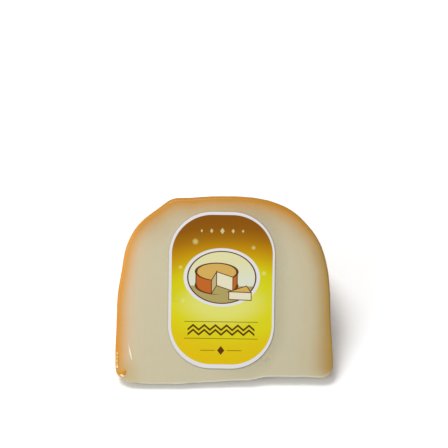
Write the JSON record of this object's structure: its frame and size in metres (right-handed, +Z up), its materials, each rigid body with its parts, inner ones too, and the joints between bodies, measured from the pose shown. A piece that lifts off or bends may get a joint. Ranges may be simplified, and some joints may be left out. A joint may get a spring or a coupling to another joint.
{
  "type": "wedge of manchego cheese in clear film with a label",
  "caption": "Wedge of hard sheep's milk cheese with an orange rind, in tight clear film, lying on a cut face with a rounded label on top.",
  "frame": {"origin": "middle of the wedge's box, on the surface it lies on", "axes": "+Z up, +X along the wheel's axis, which is the long way across the cut face, and -Y towards the thin edge"},
  "size_m": [0.1018, 0.0886, 0.0539],
  "materials": {
    "cheese": "ivory cheese paste with an orange rind, under tight clear glossy film",
    "label": "satin printed paper, brown to yellow, with a white border"
  },
  "bodies": {
    "root": {"cheese_wedge": "cheese", "label": "label"}
  },
  "joints": []
}
